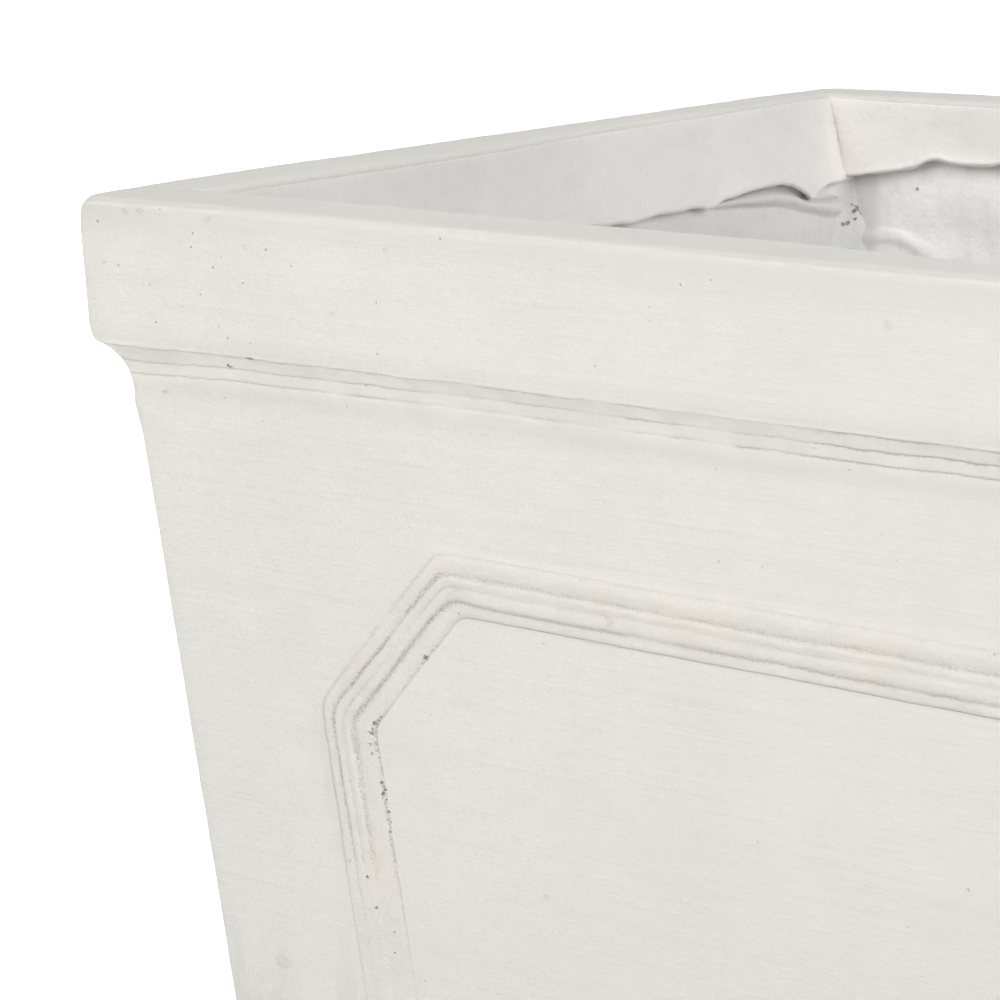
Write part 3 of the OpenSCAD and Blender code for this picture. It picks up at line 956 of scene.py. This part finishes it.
# The tooled lines of the cove: [depth in mm, half width, how dark, share worn away].
COVE_STROKES = tuple(zip(COVE_LINES, (0.5, 0.55, 0.5), (0.95, 1.0, 0.85), (0.42, 0.42, 0.5)))
# The moulding's lines: [bead number, half width, how dark on level runs, on the cut
# corners and on the legs, share worn away].
BEAD_STROKES = (
    (0.0, 0.13, 0.14, 0.3, 0.3, 0.35), (1.0, 0.18, 0.34, 0.4, 0.38, 0.12),
    (2.0, 0.12, 0.2, 0.2, 0.2, 0.5), (3.0, 0.18, 0.42, 0.36, 0.28, 0.25),
    (4.0, 0.13, 0.05, 0.28, 0.5, 0.35),
)


def cast_stone():
    """Off-white cast face: clouded patina, brush streaks, air holes and dirt in the lines."""
    s = Shader("cast_stone", (0.815, 0.785, 0.742))
    depth, bead, level = s.mark("depth"), s.mark("bead"), s.mark("level")
    clouds = s.noise(7, 5, 0.6)
    patches = s.noise(34, 5, 0.62)
    mottle = s.noise(420, 4, 0.72)
    grain = s.noise(1900, 3, 0.7)
    sides = s.axes()
    rubbed = s.ramp(sides[0], -0.2, 0.12, 1.4, 0.5)  # the grain is rubbed smoother to the right
    broad = s.streaks((6, 6, 230), 3, 0.6)
    ripples = s.streaks((16, 16, 1150), 2, 0.6)
    drags = s.streaks((45, 45, 900), 3, 0.7, 0.2)
    runs = s.streaks((120, 120, 5), 4, 0.65, 0.4)
    brushed = s.ramp(s.noise(13, 2), 0.4, 0.62)
    low = s.ramp(s.axes()[2], 0.42, 0.1)
    foot = s.ramp(s.axes()[2], 0.26, 0.05)
    # Colour: clouds and patches, cooler and greyer toward the foot.
    s.coat((0.775, 0.752, 0.708), s.ramp(clouds, 0.33, 0.68))
    s.coat((0.845, 0.825, 0.795), s.ramp(patches, 0.48, 0.72), 0.4)
    s.coat((0.755, 0.725, 0.672), s.ramp(patches, 0.5, 0.3), 0.3)
    # Painted shade: the face is painted greyer and darker toward the foot, where less light falls.
    s.coat((0.715, 0.712, 0.668), low, 0.7)
    s.coat((0.7, 0.685, 0.638), s.ramp(broad, 0.5, 0.72), 0.2)
    s.coat((0.66, 0.645, 0.6), s.ramp(ripples, 0.5, 0.75), brushed, 0.14)
    s.coat((0.66, 0.645, 0.6), s.ramp(drags, 0.5, 0.72), 0.16)
    s.coat((0.66, 0.64, 0.59), s.ramp(mottle, 0.5, 0.72), rubbed, 0.22)
    s.coat((0.6, 0.605, 0.555), s.ramp(runs, 0.46, 0.7), foot, 0.55)
    s.coat((0.62, 0.6, 0.56), s.ramp(grain, 0.46, 0.62), rubbed, 0.14)
    s.coat((0.92, 0.905, 0.88), s.ramp(grain, 0.5, 0.38), rubbed, 0.17)
    # The rim's arris: painted shade darkens its upper side like the top, and the band under it
    # less, more near the corners; the band has a broken cream line; its corners are rubbed to tan.
    edge, corner = s.mark("edge"), s.mark("corner")
    under = s.ramp(edge, -0.2, 0.3)
    above = s.math("SUBTRACT", 1, under)
    # Painted shade over the arris's upper side and, more faintly, the band under it.
    arris_shade = s.add(
        s.mul(above, s.ramp(depth, 0, 1.6, 0.2, 0.95)),
        s.mul(under, s.ramp(edge, 16, 0, 0, 0.4), s.ramp(corner, 0, 1, 1, 1.9)),
    )
    rim_top = s.math("SUBTRACT", 1, s.mark("inner"))
    s.coat((0.67, 0.655, 0.61), arris_shade, rim_top)
    # Painted shade: the rim's top is painted darker toward its right end, and a little toward its
    # left.
    wear_and_top_shade = s.add(s.ramp(sides[0], 0.08, 0.24, 0.1, 0.8), s.ramp(sides[0], -0.12, -0.24, 0, 0.3))
    s.coat((0.67, 0.655, 0.61), s.ramp(depth, 0.6, 0.1), wear_and_top_shade)
    s.coat((0.86, 0.83, 0.76), s.stroke(edge, 0.7, 0.6), s.ramp(s.noise(70), 0.42, 0.6), 0.4)
    s.coat((0.83, 0.75, 0.67), s.ramp(corner, 0.9, 0.985), s.ramp(s.noise(95), 0.4, 0.6), 0.6)
    # Stains that run down beside the upright corners near the foot.
    beside = s.math("MINIMUM", *(s.math("ABSOLUTE", sides[k], 0.0) for k in (0, 1)))
    s.coat(
        (0.58, 0.585, 0.535), s.ramp(s.streaks((60, 60, 8), 4, 0.65, 0.4), 0.44, 0.62),
        s.ramp(beside, 0.11, 0.16), s.ramp(s.axes()[2], 0.245, 0.18), 0.5,
    )
    # Dirt: speckled strokes along the lines, and a faint grime round them.
    speckle = s.ramp(s.noise(1500, 2, 0.6), 0.5, 0.59)
    fine = s.ramp(s.noise(240, 3, 0.7), 0.33, 0.55)
    wear = s.noise(30, 4, 0.6)
    in_cove = s.mul(s.ramp(depth, 48.5, 50.5), s.ramp(depth, 66, 60))
    on_bead = s.mul(s.ramp(bead, -0.6, 0.2), s.ramp(bead, 4.6, 3.9))
    flat, leg = s.ramp(level, 0.74, 0.95), s.ramp(level, 0.6, 0.2)
    slanted = s.math("SUBTRACT", 1, s.add(flat, leg))
    faded = s.ramp(depth, 245, 205, 0.15, 1)

    def kept(gone):
        return s.ramp(wear, 0.26 + 0.3 * gone, 0.4 + 0.3 * gone, 0.12, 1)

    dirt = 0.0
    drawn = s.add(depth, s.sway(150, 0.3))
    for at, half, dark, gone in COVE_STROKES:
        core = s.mul(s.stroke(drawn, at, 0.6 * half), 0.6)
        dots = s.mul(s.stroke(drawn, at, 1.4 * half, 0.1), speckle, 0.7)
        dirt = s.most(dirt, s.mul(
            s.most(core, dots), kept(gone), s.ramp(sides[0], -0.16, 0.03, 0.6, dark)
        ))
    drawn = s.add(bead, s.sway(170, 0.09))
    for at, half, dark, cut, upright, gone in BEAD_STROKES:
        core = s.mul(s.stroke(drawn, at, 0.4 * half, 0.1), fine, s.ramp(flat, 0, 1, 0.2, 0.7))
        dots = s.mul(s.stroke(drawn, at, 1.4 * half, 0.1), speckle, s.ramp(flat, 0, 1, 1.7, 1.1))
        tone = s.mul(s.add(s.mul(flat, dark), s.mul(slanted, cut), s.mul(leg, upright)), faded)
        dirt = s.most(dirt, s.mul(s.most(core, dots), kept(gone), tone))
    grime = s.mul(s.most(in_cove, on_bead), s.ramp(s.noise(55, 4, 0.6), 0.34, 0.62))
    # Painted light: the cove under the rim band is painted paler, against the shade that falls in
    # it.
    s.coat((0.925, 0.895, 0.845), in_cove, 0.9)
    s.coat((0.64, 0.645, 0.585), grime, 0.2)
    s.coat((0.8, 0.745, 0.655), on_bead, s.ramp(s.noise(26), 0.55, 0.66), 0.35)
    s.coat((0.33, 0.33, 0.295), dirt, 0.78)
    # Air holes and chips.
    small, large = s.pits(0.0052, 0.0004, 0.5, 0.7), s.pits(0.019, 0.0008, 0.35, 0.3)
    on_band = s.ramp(depth, 75, 50, 0.5, 0.9)
    chipped = s.chips([on_face(*chip) for chip in DARK_CHIPS], 1.3)
    dark = s.mul(chipped, s.ramp(grain, 0.6, 0.44, 0.3, 1))
    holes = s.most(
        s.mul(s.most(small, large), on_band), s.chips([on_face(*hole) for hole in AIR_HOLES]), dark
    )
    s.coat((0.33, 0.32, 0.28), holes, 0.72)
    s.coat((0.16, 0.16, 0.145), dark, 0.55)
    s.finish(s.ramp(patches, 0.3, 0.7, 0.8, 0.92), 0.25)
    shallow = s.chips([on_face(*chip) for chip in CRESCENTS], 1.3)
    s.relief(
        s.mul(grain, 0.15), s.mul(mottle, 0.26), s.mul(s.noise(150, 4, 0.65), 0.2),
        s.mul(ripples, brushed, 0.07), s.mul(drags, 0.08), s.mul(broad, 0.3),
        s.mul(s.noise(190, 4, 0.7), s.most(in_cove, s.mul(on_bead, 0.7)), 0.7),
        s.mul(s.noise(1000, 3, 0.7), s.most(in_cove, on_bead), 0.25),
        s.mul(holes, -0.5), s.mul(shallow, -0.18), s.mul(dirt, -0.28),
    )
    return s.material


def lining_stone():
    """The strips inside the rim: the same paste, trowelled, with a darker torn edge."""
    s = Shader("lining_stone", (0.86, 0.852, 0.828))
    edge, seam = s.mark("edge"), s.mark("seam")
    clouds = s.noise(13, 5, 0.6)
    smears = s.streaks((22, 22, 50), 4, 0.6)
    s.coat((0.815, 0.808, 0.782), s.ramp(clouds, 0.33, 0.68))
    # Painted light: the back lining, which faces the lamps in front, is painted paler and warmer.
    s.coat((0.9, 0.865, 0.82), s.ramp(s.axes()[1], 0.205, 0.215), 0.6)
    s.coat((0.7, 0.7, 0.665), s.ramp(smears, 0.46, 0.7), 0.28)
    s.coat((0.66, 0.65, 0.6), s.ramp(s.noise(420, 4, 0.7), 0.5, 0.72), 0.26)
    thin = s.ramp(seam, 0.7, 0.98)
    speckle = s.ramp(s.noise(900, 3, 0.6), 0.42, 0.6)
    stain = s.add(s.mul(thin, speckle, 0.5), s.mul(seam, s.ramp(s.noise(90), 0.38, 0.6), 0.3))
    s.coat(
        (0.5, 0.465, 0.4), stain, s.ramp(s.axes()[2], 0.446, 0.466, 0.35, 1),
        s.ramp(s.axes()[2], 0.478, 0.47, 0.1, 1),
    )
    s.coat((0.62, 0.62, 0.58), edge, 0.15)
    spots = s.pits(0.013, 0.0008, 0.5, 0.5)
    s.coat((0.42, 0.41, 0.37), spots, 0.4)
    s.finish(0.88, 0.25)
    s.relief(
        s.mul(s.noise(330, 4, 0.62), 0.2), s.mul(smears, 0.35), s.mul(s.noise(1700, 2), 0.06),
        s.mul(spots, -0.4), s.mul(thin, -0.15),
    )
    return s.material


# Holes in the back left inner corner: [x, y, z, radius].
CORNER_HOLES = (
    (-218.6, 225.2, 428.9, 1), (-219.6, 224.3, 427.5, 0.9), (-216.8, 225.6, 426.7, 0.6),
    (-220.9, 221.5, 422.4, 0.9), (-222.4, 219.7, 422, 0.7), (-218.8, 223.9, 424.1, 0.6),
    (-220.6, 224.1, 430.2, 0.5),
)


def rough_stone(name, light, dark, left_shade=0.0, holes_at=()):
    """Grey-white paste pressed in by hand, streaked and pitted, with painted shade greying the left
    wall as far as its share says.
    """
    s = Shader(name, light)
    clouds = s.noise(16, 5, 0.62)
    drags = s.streaks((110, 110, 14), 4, 0.65)
    mottle = s.noise(140, 4, 0.7)
    s.coat(dark, s.ramp(clouds, 0.35, 0.68))
    s.coat([0.86 * c for c in dark], s.ramp(drags, 0.46, 0.7), 0.22)
    s.coat((0.66, 0.645, 0.605), s.ramp(mottle, 0.52, 0.7), 0.3)
    # Painted shade: the left wall is painted greyer.
    s.coat((0.6, 0.6, 0.59), s.ramp(s.axes()[0], -0.204, -0.212), left_shade)
    holes = s.pits(0.012, 0.0011, 0.45, 0.2)
    if holes_at:
        holes = s.most(holes, s.mul(s.chips(holes_at, 1.3), 1.4))
    s.coat((0.27, 0.27, 0.25), holes, 0.6)
    s.finish(0.92, 0.2)
    s.relief(
        s.mul(s.noise(60, 4, 0.6), 1.3), s.mul(s.noise(190, 3, 0.6), 0.5),
        s.mul(drags, 0.3), s.mul(mottle, 0.2), s.mul(holes, -0.8),
    )
    return s.material


def glass_mat():
    """Chopped glass strands soaked in paste."""
    s = Shader("glass_mat", (0.55, 0.58, 0.53))
    strands = s.streaks((700, 60, 700), 2, 0.5)
    crossing = s.streaks((60, 700, 90), 2, 0.5)
    weave = s.most(s.ramp(strands, 0.52, 0.62), s.ramp(crossing, 0.52, 0.62))
    s.coat((0.74, 0.78, 0.72), weave)
    s.finish(0.6, 0.5)
    s.relief(s.mul(weave, 0.2))
    return s.material


def rubber():
    """Matt black moulded rubber with a dusty bloom."""
    s = Shader("rubber", (0.022, 0.022, 0.024))
    dust = s.ramp(s.noise(70, 4, 0.6), 0.45, 0.75)
    s.coat((0.12, 0.115, 0.105), dust, 0.4)
    s.finish(s.ramp(dust, 0, 1, 0.55, 0.85), 0.4)
    s.relief(s.mul(s.noise(900), 0.05))
    return s.material


def paint(piece, material):
    piece.data.materials.clear()
    piece.data.materials.append(material)


# ---- the room ----

AMBIENT = 0.28
LAMPS = (
    # name, place, size, power
    ("front_low", (-1.2, -5.0, 1.6), 2.4, 30),
    ("front_high", (-1.0, -4.0, 2.9), 2.4, 64),
    ("top_light", (-0.8, -2.6, 4.4), 2.4, 48),
    ("right_light", (4.2, -0.8, 1.9), 2.6, 108),
    ("back_light", (-2.4, 3.4, 2.0), 2.4, 44),
)


def make_world():
    """A white surrounding that lights evenly and is seen as plain white."""
    world = bpy.data.worlds.new("studio")
    bpy.context.scene.world = world
    s = Nodes(world)
    s.tree.nodes.clear()
    ambient, seen = (
        s.make("Background", {"Color": (1, 1, 1), "Strength": strength})[0]
        for strength in (AMBIENT, 1.0)
    )
    rays = s.make("LightPath", {})
    mixed = s.make("MixShader", {1: ambient, 2: seen})
    rays = [rays[f"Is {kind} Ray"] for kind in ("Camera", "Glossy", "Transmission")]
    s.put(mixed[0].node.inputs[0], s.most(*rays))
    s.make("OutputWorld", {0: mixed[0]})


def make_floor_stage():
    """A pale floor that keeps the planter's shadow near it and is plain white far off."""
    bpy.ops.mesh.primitive_plane_add(size=30, location=(0, 0, -0.0005))
    floor = bpy.context.object
    floor.name = "studio_floor"
    s = Shader("studio_floor", (0.86, 0.86, 0.86))
    s.finish(0.9, 0.1)
    away = s.make("VectorMath", {0: s.place}, operation="LENGTH")["Value"]
    seen = s.make("LightPath", {})["Is Camera Ray"]
    strength = s.mul(seen, s.ramp(away, 0.42, 0.75, 0.3, 0.9))
    glow = s.make("Emission", {"Color": (1, 1, 1), "Strength": strength})
    both = s.make("AddShader", {0: s.surface.outputs[0], 1: glow[0]})
    s.put(s.tree.nodes["Material Output"].inputs[0], both[0])
    paint(floor, s.material)


def make_lamp(name, place, size, power):
    """A round soft lamp that looks at the planter's middle."""
    light = bpy.data.lights.new(name, "AREA")
    light.shape = "DISK"
    light.size = size
    light.energy = power
    lamp = placed(name, light)
    lamp.location = place
    aim = Vector((0, 0, 0.3)) - Vector(place)
    lamp.rotation_euler = aim.to_track_quat("-Z", "Y").to_euler()


def make_camera():
    """The photograph's view: the upper left corner of the front, seen from above its right end."""
    data = bpy.data.cameras.new("photo_view")
    data.sensor_width = 36
    data.lens = 123.38
    camera = placed("photo_view", data)
    camera.location = (0.5335, -1.0997, 0.6161)
    camera.rotation_euler = (radians(78.093), radians(0.07), radians(35.544))
    bpy.context.scene.camera = camera


# ---- assembly ----

make_camera()
make_world()
make_floor_stage()
for lamp in LAMPS:
    make_lamp(*lamp)

stone = cast_stone()
strip = lining_stone()
pressed = rough_stone("fibre_stone", (0.91, 0.9, 0.885), (0.85, 0.845, 0.825), 0.5)
paste = rough_stone("stone_paste", (0.82, 0.82, 0.805), (0.75, 0.755, 0.74), 0.0, CORNER_HOLES)
made = [(make_face_coat(), stone), (make_floor(), pressed)]
for side in range(4):
    made += [(make_lining(side), strip), (make_wall(side), pressed), (make_fillet(side), paste)]
for piece, material in made:
    paint(piece, material)
    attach(piece, "planter")
others = {"mat_": glass_mat(), "rim_core_": paste, "drain_plug": rubber()}
for name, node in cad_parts.items():
    for start, material in others.items():
        if name.startswith(start):
            paint(node, material)

bpy.context.scene.view_settings.view_transform = "Standard"
